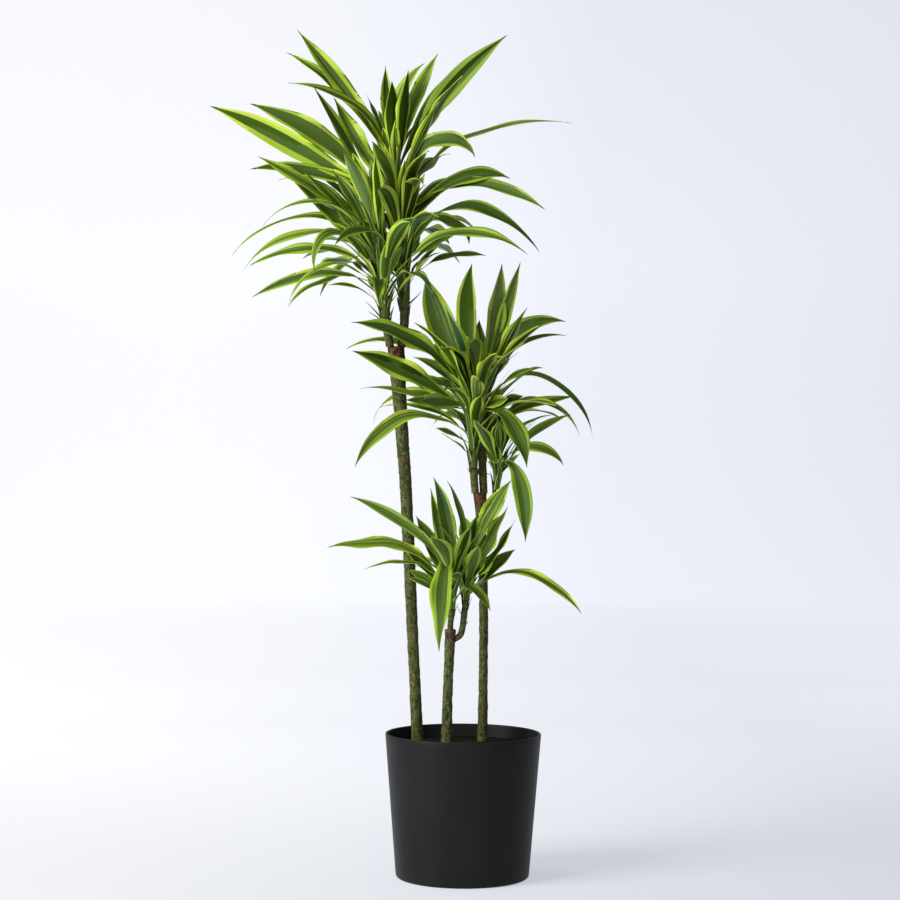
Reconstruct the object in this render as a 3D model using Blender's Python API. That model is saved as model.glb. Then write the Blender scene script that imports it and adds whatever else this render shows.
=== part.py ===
"""Potted lemon lime dracaena: three bare canes of stepped height in a round nursery pot.

Each cane is cut off flat at the soil and at its head. Below the cut it carries two or three shoots, and
each shoot ends in a crown of strap leaves. A crown is one solid: a leafy stem with its leaves fused on.
Metres, +Z up. The origin is the centre of the pot's flat underside, and -Y faces the viewer.
"""

import math
import random

import bmesh
import bpy
from mathutils import Vector
from mathutils.bvhtree import BVHTree

MM = 0.001
UP = Vector((0, 0, 1))
GAP = 0.3 * MM  # between two pieces that touch on the real plant

# Pot
POT_HEIGHT = 0.221
POT_RIM_RADIUS = 0.120
POT_BASE_RADIUS = 0.1023
POT_WALL = 0.0032
POT_FLOOR = 0.004
POT_CORNER = 0.005
POT_CORNER_FLARE = 0.4 * MM  # gained by the tapering wall over that corner
POT_STEPS = 48

# Soil
SOIL_DEPTH = 0.018  # below the rim
SOIL_TOP = POT_HEIGHT - SOIL_DEPTH
SOIL_CROWN = 0.002  # how far the middle stands above the edge
SOIL_RINGS = 3

# Limbs
CANE_SIDES = 12
SHOOT_SIDES = 8
STEM_SIDES = 8
NEARBY = 0.02  # along a limb, how far to either side its direction is taken
CANE_STATIONS = 10
SHOOT_STATIONS = 5
STEM_STATIONS = 2
BUD_LENGTH = 9 * MM  # the pointed end of a leafy stem

# Leaves
LEAF_STATIONS = (0.0, 0.14, 0.32, 0.52, 0.70, 0.86, 1.0)
FILL_STATIONS = (0.0, 0.18, 0.42, 0.66, 0.86, 1.0)  # the same for the leaves that a fill line deals out
CURVE_STEPS = 48  # steps along a leaf when its curve is added up
THICKNESS = 0.011  # of a leaf's length, at its middle
TIP_THICKNESS = 0.35  # of that, near the tip
CHANNEL = 0.10  # depth of the channel along a leaf, of its width
FULL_ROLL_AT = 0.35  # along a leaf, where its blade has turned as far as it will
ROOT_OFF_AXIS = 1.2 * MM  # where a leaf starts inside its stem
FOOT_HALF = 1.6 * MM  # half of its width there
WIDTH_START = 0.06  # along the arch that gives a leaf its outline, where the leaf begins
WIDTH_LATE = 1.5  # over 1, the widest place lies beyond the middle
CLEARANCE = 0.8 * MM  # kept between a leaf and whatever it isn't fused to
CROWDED = 0.45  # beyond this far along, leaves of one crown keep off each other too
GOLDEN_TURN = 137.5
TRIES = 400

# Canes: the middle line from the soil up, then the radius at even steps along it
CANES = {
    "cane_tall": (
        ((-0.0704, 0.020), (-0.0804, 0.020, 0.392), (-0.0902, 0.020, 0.578), (-0.0970, 0.019, 0.671),
         (-0.1081, 0.014, 0.8155)),
        (0.0094, 0.0088, 0.0092, 0.0095, 0.0098, 0.0104, 0.0135),
    ),
    "cane_middle": (
        ((0.0303, 0.035), (0.0308, 0.032, 0.320), (0.0302, 0.030, 0.424), (0.0266, 0.030, 0.530),
         (0.0233, 0.030, 0.5905)),
        (0.0085, 0.0072, 0.0072, 0.0072, 0.0075, 0.0110),
    ),
    "cane_short": (
        ((-0.0256, -0.040), (-0.0245, -0.040, 0.276), (-0.0224, -0.043, 0.340), (-0.0207, -0.045, 0.3840)),
        (0.0090, 0.0076, 0.0076, 0.0088),
    ),
}

# Shoots: the middle line from the cane out, and the radius at its foot and its end
SHOOTS = {
    "shoot_tall_left": (
        ((-0.1169, 0.006, 0.8158), (-0.1209, 0.001, 0.838), (-0.1247, -0.005, 0.8580)), 0.0066, 0.0070),
    "shoot_tall_right": (
        ((-0.0999, 0.019, 0.8158), (-0.0954, 0.020, 0.852), (-0.0954, 0.020, 0.8875)), 0.0068, 0.0076),
    "shoot_middle_left": (
        ((0.0162, 0.027, 0.5908), (0.0141, 0.026, 0.615), (0.0131, 0.025, 0.6405)), 0.0060, 0.0064),
    "shoot_middle_right": (
        ((0.0293, 0.034, 0.5908), (0.0278, 0.035, 0.620), (0.0266, 0.036, 0.6485)), 0.0062, 0.0066),
    "shoot_middle_side": (
        ((0.0331, 0.0259, 0.5560), (0.0441, 0.020, 0.5680), (0.0481, 0.018, 0.5915)), 0.0040, 0.0046),
    "shoot_short_left": (
        ((-0.0212, -0.046, 0.3843), (-0.0204, -0.050, 0.398), (-0.0189, -0.054, 0.4105)), 0.0046, 0.0048),
    "shoot_short_right": (
        ((-0.0121, -0.0435, 0.3690), (-0.0039, -0.041, 0.3800), (0.0026, -0.040, 0.4275)), 0.0046, 0.0052),
}
FROM_THE_SIDE = ("shoot_middle_side", "shoot_short_right")  # they leave a cane's side, not its head

# Crowns: each continues the shoot of the same name. A leaf row says how far up the stem it roots (mm),
# which way it points (degrees, 0 along +X and 90 along +Y), the rise of its foot and how much of that it
# loses by its tip (degrees), its length and width (mm), how far its upper side turns to the viewer
# (degrees), and how late it bends. A fill line says how many more leaves point to the back and the front,
# how long the longest is (mm), and the seed that deals them out.
CROWNS = {
    "tall_right": {
        "tip": (-0.1134, 0.020, 1.120),
        "radii": (0.0080, 0.0040),
        "fill": (22, 250, 4),
        "leaves": (
            (215, 170, 54, 2, 260, 29, 70, 1.4),
            (205, 160, 59, 32, 268, 25, 60, 1.4),
            (190, 200, 80, 84, 241, 28, 55, 1.0),
            (115, 215, 53, 2, 256, 28, 50, 1.4),
            (150, 165, 59, 2, 198, 28, 50, 1.4),
            (200, 140, 70, 15, 143, 16, 0, 1.4),
            (214, 140, 76, -16, 154, 22, 30, 1.4),
            (215, 340, 93, 62, 165, 26, 60, 2.0),
            (205, 20, 79, 23, 196, 24, 50, 1.4),
            (188, 38, 67, 20, 212, 20, 50, 1.4),
            (185, 355, 69, 29, 284, 34, 75, 0.8),
            (150, 325, 75, 140, 207, 26, 75, 1.6),
            (155, 5, 50, 61, 313, 25, 25, 1.4),
            (103, 350, 55, 83, 209, 41, 50, 1.8),
            (138, 345, 41, 79, 250, 22, 40, 0.9),
            (90, 350, 56, 115, 256, 24, 55, 0.9),
            (72, 340, 60, 154, 156, 29, 30, 1.7),
            (91, 25, 50, 110, 165, 21, 20, 1.4),
            (28, 350, 41, 57, 140, 16, 30, 1.4),
            (20, 335, 66, 62, 84, 22, 30, 1.4),
            (130, 180, 40, 24, 340, 37, 75, 1.4),
            (135, 175, 47, 28, 292, 36, 70, 1.6),
            (115, 185, 55, 70, 260, 26, 45, 1.0),
            (86, 190, 33, 6, 256, 28, 60, 1.4),
            (120, 165, 47, 66, 222, 16, 30, 1.4),
            (95, 285, 72, 115, 190, 28, 0, 1.4),
            (185, 255, 80, 10, 110, 24, 0, 1.4),
            (195, 290, 82, 20, 115, 22, 0, 1.4),
            (8, 215, 74, 12, 110, 26, 0, 1.4),
            (48, 340, 44, 32, 108, 26, 50, 1.4),
            (108, 8, 60, 38, 128, 28, 50, 1.4),
        ),
    },
    "tall_left": {
        "tip": (-0.1349, -0.010, 1.005),
        "radii": (0.0074, 0.0036),
        "fill": (17, 220, 2),
        "leaves": (
            (50, 185, 86, 142, 272, 15, 45, 1.3),
            (55, 170, 79, 134, 306, 26, 40, 0.95),
            (50, 190, 67, 127, 265, 22, 30, 1.05),
            (50, 165, 66, 97, 243, 20, 55, 0.7),
            (70, 230, 43, 168, 218, 20, 40, 2.2),
            (42, 190, 45, 78, 213, 18, 60, 0.6),
            (20, 175, 58, 118, 178, 16, 30, 1.0),
            (42, 200, 52, 128, 188, 18, 30, 1.1),
            (20, 200, 38, 50, 96, 12, 20, 1.4),
            (55, 170, 59, 27, 248, 26, 65, 1.4),
            (65, 185, 63, 26, 205, 28, 65, 1.4),
            (100, 200, 66, 20, 148, 22, 60, 1.4),
            (100, 250, 80, 20, 150, 20, 0, 1.4),
            (108, 235, 80, 10, 125, 18, 0, 1.4),
            (118, 140, 84, 10, 110, 16, 0, 1.4),
            (40, 335, 70, 107, 281, 22, 60, 0.85),
        ),
    },
    "middle_left": {
        "tip": (0.0131, 0.015, 0.757),
        "radii": (0.0068, 0.0036),
        "fill": (14, 220, 10),
        "leaves": (
            (104, 180, 63.3, -10, 197, 45, 75, 1.4),
            (104, 0, 97, 22, 202, 33, 75, 3.0),
            (100, 265, 80, 130, 150, 26, 0, 2.0),
            (100, 235, 68, 105, 135, 28, 10, 2.0),
            (88, 202, 58, 60, 246, 35, 60, 1.2),
            (90, 160, 56, 83, 252, 21, 50, 1.4),
            (74, 200, 34, 22, 218, 34, 70, 1.4),
            (45, 200, 39, 48, 200, 17, 40, 1.4),
            (52, 156, 36, 130, 214, 20, 40, 2.4),
            (78, 205, 10, 8, 116, 22, 60, 1.4),
            (30, 160, 45, 65, 175, 14, 40, 1.4),
            (34, 205, 42, 107, 235, 22, 50, 0.95),
            (2, 200, 48, 26, 66, 16, 30, 1.4),
            (68, 312, 45, 125, 166, 32, 30, 0.6),
            (22, 200, 34, 24, 68, 16, 30, 1.4),
        ),
    },
    "middle_right": {
        "tip": (0.0241, 0.045, 0.750),
        "radii": (0.0070, 0.0036),
        "fill": (14, 220, 10),
        "leaves": (
            (92, 15, 81, -1, 211, 30, 75, 1.4),
            (88, 10, 76, 4, 224, 21, 60, 1.4),
            (95, 5, 82, 99, 200, 26, 60, 1.4),
            (84, 17, 74, 64, 180, 22, 50, 1.4),
            (79, 14, 72, 80, 191, 12, 30, 1.4),
            (75, 298, 78, 104, 130, 34, 0, 1.6),
            (60, 350, 96, 177, 251, 14, 50, 0.7),
            (34, 0, 48, 44, 157, 18, 50, 0.7),
            (25, 15, 55, 131, 204, 18, 40, 1.4),
            (58, 345, 40, 30, 75, 24, 30, 1.4),
        ),
    },
    "middle_side": {
        "tip": (0.0536, 0.012, 0.649),
        "radii": (0.0050, 0.0030),
        "fill": (5, 120, 12),
        "leaves": (
            (28, 10, 60, 50, 152, 15, 40, 1.4),
            (45, 340, 70, 68, 118, 13, 30, 1.4),
            (28, 350, 75, 142, 135, 19, 40, 1.1),
            (36, 290, 76, 168, 192, 28, 40, 0.42),
            (45, 220, 80, 5, 60, 16, 0, 1.4),
            (50, 60, 85, 5, 62, 16, 0, 1.4),
        ),
    },
    "short_left": {
        "tip": (-0.0191, -0.060, 0.4746),
        "radii": (0.0052, 0.0032),
        "fill": (7, 160, 2),
        "leaves": (
            (40, 180, 75, 61, 213, 18, 65, 0.8),
            (39, 195, 64, 79, 215, 21, 55, 0.7),
            (33, 180, 63, 89, 148, 12, 20, 0.8),
            (12, 200, 44, 32, 84, 12, 40, 1.4),
            (26, 170, 78.5, 0, 167, 16, 50, 1.4),
            (34, 180, 97, 36, 176, 26, 70, 1.2),
            (36, 264, 84, 172, 254, 34, 0, 0.6),
            (34, 235, 75, 60, 110, 20, 20, 2.0),
            (34, 150, 66, 14, 128, 26, 50, 1.4),
            (20, 170, 55, 22, 110, 22, 40, 1.4),
            (14, 190, 46, 20, 84, 18, 50, 1.4),
        ),
    },
    "short_right": {
        "tip": (0.0036, -0.035, 0.4886),
        "radii": (0.0056, 0.0032),
        "fill": (7, 150, 5),
        "leaves": (
            (23, 175, 92, 38, 165, 15, 30, 2.0),
            (57, 8, 69, 16, 143, 28, 70, 1.4),
            (38, 308, 72, 30, 142, 20, 45, 1.4),
            (14, 325, 63, 6, 150, 38, 70, 1.4),
            (10, 332, 53, -4, 141, 24, 60, 1.4),
            (8, 340, 47, 12, 105, 28, 50, 1.8),
            (7, 350, 60, 118, 208, 15, 40, 0.75),
            (15, 290, 70, 40, 90, 26, 0, 1.4),
            (5, 316, 46, 10, 60, 24, 20, 1.4),
        ),
    },
}

# Fill leaves, from the lowest on a stem to the highest
FILL_RISE = (38, 80)
FILL_DROOP = (105, 15)
FILL_LENGTH = (0.85, 0.38)  # of the longest, with the full length in between
FILL_WIDTH = (20, 28)  # mm
FILL_FOOT = 0.12  # of the stem, left bare
FILL_SIDE = 0.78  # a fill leaf whose cosine of turn is over this would stand out to the left or right

COLOURS = {  # base colour, roughness
    "pot": ((0.025, 0.026, 0.028), 0.45),
    "soil": ((0.020, 0.013, 0.008), 0.95),
    "cane": ((0.120, 0.110, 0.055), 0.80),
    "shoot": ((0.100, 0.110, 0.045), 0.70),
    "crown": ((0.130, 0.260, 0.020), 0.45),
}


def clear_scene():
    for obj in list(bpy.data.objects):
        bpy.data.objects.remove(obj, do_unlink=True)


def mix(low, high, t):
    return low + (high - low) * t


def material(name, kind):
    colour, roughness = COLOURS[kind]
    made = bpy.data.materials.new(name)
    made.use_nodes = True
    shader = made.node_tree.nodes["Principled BSDF"]
    shader.inputs["Base Color"].default_value = (*colour, 1)
    shader.inputs["Roughness"].default_value = roughness
    shader.inputs["Metallic"].default_value = 0
    made.diffuse_color = (*colour, 1)
    return made


def mesh_object(name, kind, points, faces):
    mesh = bpy.data.meshes.new(name)
    mesh.from_pydata([tuple(p) for p in points], [], faces)
    mesh.materials.append(material(name, kind))
    mesh.shade_smooth()
    mesh.set_sharp_from_angle(angle=math.radians(40))
    obj = bpy.data.objects.new(name, mesh)
    bpy.context.scene.collection.objects.link(obj)
    return obj


def loft(rings):
    """Points and faces of the closed surface through these rings; a ring of one point ends it.

    Faces are cut in two from even points up, so a thin leaf's upper and lower faces bend along the same lines.
    """
    points = [p for ring in rings for p in ring]
    size = len(rings[0])
    faces = [tuple(reversed(range(size)))]
    start = 0
    for ring in rings[1:]:
        after = start + size
        for i in range(size):
            j = (i + 1) % size
            if len(ring) == 1:
                faces.append((start + i, start + j, after))
            elif i % 2 == 0:
                faces.append((start + i, start + j, after + j))
                faces.append((start + i, after + j, after + i))
            else:
                faces.append((start + i, start + j, after + i))
                faces.append((start + j, after + j, after + i))
        start = after
    if len(rings[-1]) > 1:
        faces.append(tuple(range(start, start + size)))
    return points, faces


def along(points, t):
    """Point at t, from 0 to 1, on a smooth curve through these points."""
    spans = len(points) - 1
    i = min(int(t * spans), spans - 1)
    u = t * spans - i
    b, c = points[i], points[i + 1]
    a = points[i - 1] if i > 0 else 2 * b - c
    d = points[i + 2] if i + 2 <= spans else 2 * c - b
    return 0.5 * (2 * b + (c - a) * u + (2 * a - 5 * b + 4 * c - d) * u**2 + (3 * b - a - 3 * c + d) * u**3)


def value_at(values, t):
    spans = len(values) - 1
    i = min(int(t * spans), spans - 1)
    return mix(values[i], values[i + 1], t * spans - i)


def limb_rings(points, radii, stations, sides, foot_axis=UP, end_axis=UP, swell=0.0):
    """Round sections square to a curve, but square to the axes given at its foot and its end."""
    points = [Vector(p) for p in points]
    rings = []
    for k in range(stations + 1):
        t = k / stations
        middle = along(points, t)
        ahead = along(points, min(t + NEARBY, 1)) - along(points, max(t - NEARBY, 0))
        if k == 0:
            ahead = foot_axis
        if k == stations:
            ahead = end_axis
        turn = UP.rotation_difference(ahead).to_matrix()
        radius = value_at(radii, t) + swell
        ring = []
        for side in range(sides):
            angle = 2 * math.pi * side / sides
            ring.append(middle + turn @ Vector((radius * math.cos(angle), radius * math.sin(angle), 0)))
        rings.append(ring)
    return rings


def turned(name, kind, profile, steps):
    """A body turned about the Z axis from a profile of (radius, height) points."""
    bm = bmesh.new()
    spun = [bm.verts.new((r, 0, z)) for r, z in profile]
    edges = [bm.edges.new(pair) for pair in zip(spun, spun[1:])]
    bmesh.ops.spin(bm, geom=spun + edges, cent=(0, 0, 0), axis=(0, 0, 1), angle=2 * math.pi, steps=steps,
                   use_merge=True, use_duplicate=False)
    bmesh.ops.remove_doubles(bm, verts=bm.verts, dist=0.01 * MM)
    bmesh.ops.recalc_face_normals(bm, faces=bm.faces)
    mesh = bpy.data.meshes.new(name)
    bm.to_mesh(mesh)
    bm.free()
    mesh.materials.append(material(name, kind))
    mesh.shade_smooth()
    mesh.set_sharp_from_angle(angle=math.radians(40))
    obj = bpy.data.objects.new(name, mesh)
    bpy.context.scene.collection.objects.link(obj)
    return obj


def pot_radius(z):
    """Outer radius of the straight tapering wall at a height."""
    return mix(POT_BASE_RADIUS, POT_RIM_RADIUS, z / POT_HEIGHT)


def make_pot():
    corner = POT_CORNER
    profile = [(0, 0), (POT_BASE_RADIUS - corner, 0)]
    for k in (1, 2, 3):
        angle = math.pi / 2 * k / 3
        profile.append((
            POT_BASE_RADIUS - corner + corner * math.sin(angle) + POT_CORNER_FLARE * k / 3,
            corner - corner * math.cos(angle),
        ))
    lip = POT_WALL / 2
    profile.append((pot_radius(POT_HEIGHT - lip), POT_HEIGHT - lip))
    for k in (1, 2, 3):
        angle = math.pi * k / 4
        middle = pot_radius(POT_HEIGHT) - lip
        profile.append((middle + lip * math.cos(angle), POT_HEIGHT - lip + lip * math.sin(angle)))
    profile.append((pot_radius(POT_HEIGHT - lip) - POT_WALL, POT_HEIGHT - lip))
    profile.append((pot_radius(POT_FLOOR) - POT_WALL, POT_FLOOR))
    profile.append((0, POT_FLOOR))
    turned("pot", "pot", profile, POT_STEPS)


def soil_edge(z):
    return pot_radius(z) - POT_WALL - GAP


def make_soil():
    foot = POT_FLOOR + GAP
    profile = [(0, foot), (soil_edge(foot), foot), (soil_edge(SOIL_TOP), SOIL_TOP - SOIL_CROWN)]
    for k in range(1, SOIL_RINGS):
        share = 1 - k / SOIL_RINGS
        profile.append((soil_edge(SOIL_TOP) * share, SOIL_TOP - SOIL_CROWN * share**2))
    profile.append((0, SOIL_TOP))
    turned("soil", "soil", profile, POT_STEPS)


def leaf_width(s):
    """Width of a leaf along its length, as a share of its greatest."""
    return math.sin(math.pi * (WIDTH_START + (1 - WIDTH_START) * s) ** WIDTH_LATE)


def leaf_rings(root, row, stations, spare=0.0):
    """Four-pointed sections of a leaf that rises, turns its face and bends over; spare fattens it."""
    turn, rise, droop, length, width, face, hook = row
    front = 1 if math.cos(math.radians(turn)) > 0 else -1
    across = Vector((-math.sin(math.radians(turn)), math.cos(math.radians(turn)), 0))
    out = Vector((math.cos(math.radians(turn)), math.sin(math.radians(turn)), 0))
    rings = []
    middle = root.copy()
    travelled = 0.0
    for s in stations:
        steps = max(1, round((s - travelled) * CURVE_STEPS))
        for k in range(steps if s > 0 else 0):
            slope = math.radians(rise - droop * (travelled + (s - travelled) * (k + 0.5) / steps) ** hook)
            step = length * MM * (s - travelled) / steps
            middle = middle + (out * math.cos(slope) + Vector((0, 0, math.sin(slope)))) * step
        travelled = s
        slope = math.radians(rise - droop * s**hook)
        ahead = out * math.cos(slope) + Vector((0, 0, math.sin(slope)))
        upper = ahead.cross(across)
        roll = math.radians(face) * front * min(s / FULL_ROLL_AT, 1) ** 1.5
        side = across * math.cos(roll) + upper * math.sin(roll)
        normal = ahead.cross(side)
        if s == 1:
            rings.append([middle + ahead * spare])
            continue
        half = (0.5 * width * MM * leaf_width(s) if s > 0 else FOOT_HALF) + spare
        thick = 0.5 * THICKNESS * length * MM * mix(1, TIP_THICKNESS, s) + spare
        sunk = CHANNEL * width * MM * leaf_width(s)
        rings.append([
            middle + side * half,
            middle + normal * (thick - sunk),
            middle - side * half,
            middle - normal * (thick + sunk),
        ])
    return rings


def tree_of(rings):
    points, faces = loft(rings)
    return BVHTree.FromPolygons(points, faces)


def fill_rows(longest, seed, run):
    """Rows for the leaves that point to the back and the front, dealt out by a golden turn."""
    dealt = random.Random(seed)
    for k in range(TRIES):
        turn = (k * GOLDEN_TURN + dealt.uniform(-12, 12)) % 360
        share = mix(FILL_FOOT, 1, dealt.random())
        ends = mix(*FILL_LENGTH, share)
        length = longest * (ends + (1 - ends) * math.sin(math.pi * share)) * dealt.uniform(0.8, 1.0)
        row = (
            run * share,
            turn,
            mix(*FILL_RISE, share) + dealt.uniform(-6, 6),
            mix(*FILL_DROOP, share) * dealt.uniform(0.7, 1.2),
            length,
            dealt.uniform(*FILL_WIDTH),
            dealt.uniform(-25, 25),
            dealt.uniform(1.0, 1.6),
        )
        if abs(math.cos(math.radians(turn))) < FILL_SIDE:
            yield row


def join(name, stem, leaves):
    """One solid of a stem and its leaves, by one union, with scraps and sealed hollows dropped."""
    body = mesh_object(name, "crown", *loft(stem))
    group = bpy.data.collections.new(name + "_leaves")
    bpy.context.scene.collection.children.link(group)
    for number, rings in enumerate(leaves):
        leaf = mesh_object(f"{name}_leaf_{number}", "crown", *loft(rings))
        bpy.context.scene.collection.objects.unlink(leaf)
        group.objects.link(leaf)
    union = body.modifiers.new("leaves", "BOOLEAN")
    union.operation = "UNION"
    union.operand_type = "COLLECTION"
    union.collection = group
    union.solver = "MANIFOLD"
    bpy.context.view_layer.update()
    graph = bpy.context.evaluated_depsgraph_get()
    joined = bpy.data.meshes.new_from_object(body.evaluated_get(graph))
    body.modifiers.remove(union)
    keep_largest(joined)
    joined.materials.clear()
    joined.materials.append(body.data.materials[0])
    joined.set_sharp_from_angle(angle=math.radians(40))
    body.data = joined
    for leaf in list(group.objects):
        bpy.data.objects.remove(leaf, do_unlink=True)
    bpy.data.collections.remove(group)


def keep_largest(mesh):
    """Deletes every connected shell but the largest one."""
    bm = bmesh.new()
    bm.from_mesh(mesh)
    left = set(bm.faces)
    shells = []
    while left:
        shell = {left.pop()}
        edge = list(shell)
        while edge:
            face = edge.pop()
            for neighbour in {f for e in face.edges for f in e.link_faces} & left:
                left.discard(neighbour)
                shell.add(neighbour)
                edge.append(neighbour)
        shells.append(shell)
    shells.sort(key=lambda shell: sum(f.calc_area() for f in shell))
    loose = [f for shell in shells[:-1] for f in shell]
    bmesh.ops.delete(bm, geom=loose, context="FACES")
    bmesh.ops.delete(bm, geom=[v for v in bm.verts if not v.link_faces], context="VERTS")
    bm.to_mesh(mesh)
    bm.free()


def make_limbs():
    """Canes and shoots. Returns a search tree of each, a little swollen, for keeping leaves off them."""
    trees = []
    for name, (line, radii) in CANES.items():
        foot = (*line[0], SOIL_TOP + GAP)
        line = (foot, *line[1:])
        rings = limb_rings(line, radii, CANE_STATIONS, CANE_SIDES)
        mesh_object(name, "cane", *loft(rings))
        trees.append(tree_of(limb_rings(line, radii, CANE_STATIONS, CANE_SIDES, swell=CLEARANCE)))
    for name, (line, foot_radius, end_radius) in SHOOTS.items():
        radii = (foot_radius, end_radius)
        out = Vector((line[1][0] - line[0][0], line[1][1] - line[0][1], 0))
        axis = out if name in FROM_THE_SIDE else UP
        rings = limb_rings(line, radii, SHOOT_STATIONS, SHOOT_SIDES, foot_axis=axis)
        mesh_object(name, "shoot", *loft(rings))
        swollen = limb_rings(line, radii, SHOOT_STATIONS, SHOOT_SIDES, foot_axis=axis, swell=CLEARANCE)
        trees.append(tree_of(swollen))
    return trees


def make_crowns(trees):
    stems = {}
    for key, crown in CROWNS.items():
        foot = Vector(SHOOTS["shoot_" + key][0][-1]) + Vector((0, 0, GAP))
        tip = Vector(crown["tip"])
        bud = [tip + (tip - foot).normalized() * BUD_LENGTH]
        stem = limb_rings((foot, tip), crown["radii"], STEM_STATIONS, STEM_SIDES)
        stems[key] = (foot, tip, [*stem, bud])
    placed = {key: [] for key in CROWNS}

    def blocked(key, tested, outer):
        others = [tree_of(stem) for other, (_, _, stem) in stems.items() if other != key]
        for other, rows in placed.items():
            if other != key:
                others.extend(tree for _, tree, _ in rows)
        if any(tested.overlap(tree) for tree in trees + others):
            return True
        return outer is not None and any(outer.overlap(tree) for _, _, tree in placed[key])

    def grow(key, row, stations, keep_apart):
        foot, tip, _ = stems[key]
        turn = math.radians(row[1])
        root = foot + (tip - foot).normalized() * row[0] * MM
        root = root + Vector((math.cos(turn), math.sin(turn), 0)) * ROOT_OFF_AXIS
        rings = leaf_rings(root, row[1:], stations)
        tested = tree_of(leaf_rings(root, row[1:], stations, spare=CLEARANCE))
        far = [ring for s, ring in zip(stations, rings) if s > CROWDED]
        outer = tree_of(far)
        if blocked(key, tested, outer if keep_apart else None):
            return False
        placed[key].append((rings, tree_of(rings), outer))
        return True

    for key, crown in CROWNS.items():
        for row in crown["leaves"]:
            grow(key, row, LEAF_STATIONS, False)
    for key, crown in CROWNS.items():
        foot, tip, _ = stems[key]
        count, longest, seed = crown["fill"]
        grown = 0
        for row in fill_rows(longest, seed, (tip - foot).length / MM):
            grown += grow(key, row, FILL_STATIONS, True)
            if grown == count:
                break
    for key, rows in placed.items():
        join("crown_" + key, stems[key][2], [rings for rings, _, _ in rows])


def main():
    clear_scene()
    make_pot()
    make_soil()
    make_crowns(make_limbs())


main()
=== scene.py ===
"""Looks of a potted lemon lime dracaena: black pot, potting mix, three canes and their leaf crowns."""

import math
import random

import bmesh
import bpy
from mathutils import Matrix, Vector, noise
from mathutils.bvhtree import BVHTree


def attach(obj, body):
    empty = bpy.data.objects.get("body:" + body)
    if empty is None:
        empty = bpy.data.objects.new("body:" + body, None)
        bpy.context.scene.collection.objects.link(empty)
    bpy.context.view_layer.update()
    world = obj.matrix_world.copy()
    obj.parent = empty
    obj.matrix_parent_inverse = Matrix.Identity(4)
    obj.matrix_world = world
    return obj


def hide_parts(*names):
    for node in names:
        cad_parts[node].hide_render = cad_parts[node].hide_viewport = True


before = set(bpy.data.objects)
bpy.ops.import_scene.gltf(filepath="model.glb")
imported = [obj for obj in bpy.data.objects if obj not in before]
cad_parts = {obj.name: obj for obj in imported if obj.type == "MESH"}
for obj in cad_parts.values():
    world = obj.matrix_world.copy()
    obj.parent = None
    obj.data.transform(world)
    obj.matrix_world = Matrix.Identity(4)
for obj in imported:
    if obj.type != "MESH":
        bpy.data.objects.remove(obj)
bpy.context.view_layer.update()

MM = 0.001
UP = Vector((0, 0, 1))
GAP = 0.3 * MM
MERGED = 0.01 * MM  # points nearer than this are one
UV_MAP = "OFBake"

# Pot and soil
POT_HEIGHT = 0.221
POT_RIM_RADIUS = 0.120
POT_BASE_RADIUS = 0.1023
POT_WALL = 0.0032
POT_FLOOR = 0.005
POT_CORNER = 0.005
POT_CORNER_FLARE = 0.4 * MM
POT_FOOT_WIDTH = 0.012
POT_HOLLOW = 2.5 * MM  # how far the underside stands off the ground inside its foot
POT_STEPS = 160
CORNER_STEPS = 6
WALL_STEPS = 24
LIP_STEPS = 8
INNER_STEPS = 11
INNER_BELOW = 0.02  # how far below the soil the inner wall keeps its fine steps
SOIL_DEPTH = 0.018
SOIL_TOP = POT_HEIGHT - SOIL_DEPTH
SOIL_CROWN = 0.002
SOIL_EDGE = 0.004
SOIL_RINGS = 46
SOIL_CLODS = (60, 1.6 * MM)  # how fine and how high
SOIL_FRACTAL = (0.8, 2.0, 4)  # falloff, lacunarity and octaves
SOIL_MEAN = 0.9
SOIL_SMOOTH = (0.002, 0.003)  # how far in from its edge and down from its top it has no clods

# Limbs
CANE_SIDES = 12
SHOOT_SIDES = 8
STEM_SIDES = 8
CANE_STATIONS = 10
SHOOT_STATIONS = 5
STEM_STATIONS = 2
BUD_LENGTH = 9 * MM

# Bark: spacing and depth of its leaf rings, and height of its swellings
CANE_RINGS = (11 * MM, 0.45 * MM, 0.8 * MM)
SHOOT_RINGS = (4.2 * MM, 0.35 * MM, 0.3 * MM)
STEM_RINGS = (4.5 * MM, 0.4 * MM, 0.3 * MM)
BARK_SIDES = 36
BARK_STEP = 2.2 * MM
RING_WANDER = 0.35
RING_SHARPNESS = 7
SWELLINGS = (2.2, 90)  # how many round a limb and in each metre along it
CANE_CORNER = 1.2 * MM
SUNK = 1.5 * MM  # how far a shoot's bark runs on into its cane
POINT_FROM = 0.93  # from here on a leafy stem tapers off
POINT_ROUND = math.pi / 2 * 0.9
AHEAD = 0.02  # how far before and after a point its direction is taken
WAX_FROM = {"cane_tall": 0.793, "cane_middle": 0.569, "cane_short": 0.369}
WAX_EDGE = (170, 0.012)  # how fine and how high

# Leaves
LEAF_STATIONS = (0.0, 0.14, 0.32, 0.52, 0.70, 0.86, 1.0)
FILL_STATIONS = (0.0, 0.18, 0.42, 0.66, 0.86, 1.0)
CURVE_STEPS = 48
THICKNESS = 0.011
TIP_THICKNESS = 0.35
CHANNEL = 0.10
FULL_ROLL_AT = 0.35
ROOT_OFF_AXIS = 1.2 * MM
FOOT_HALF = 1.6 * MM
WIDTH_START = 0.06
WIDTH_LATE = 1.5
CLEARANCE = 0.8 * MM
CROWDED = 0.45
GOLDEN_TURN = 137.5
TRIES = 400

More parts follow.
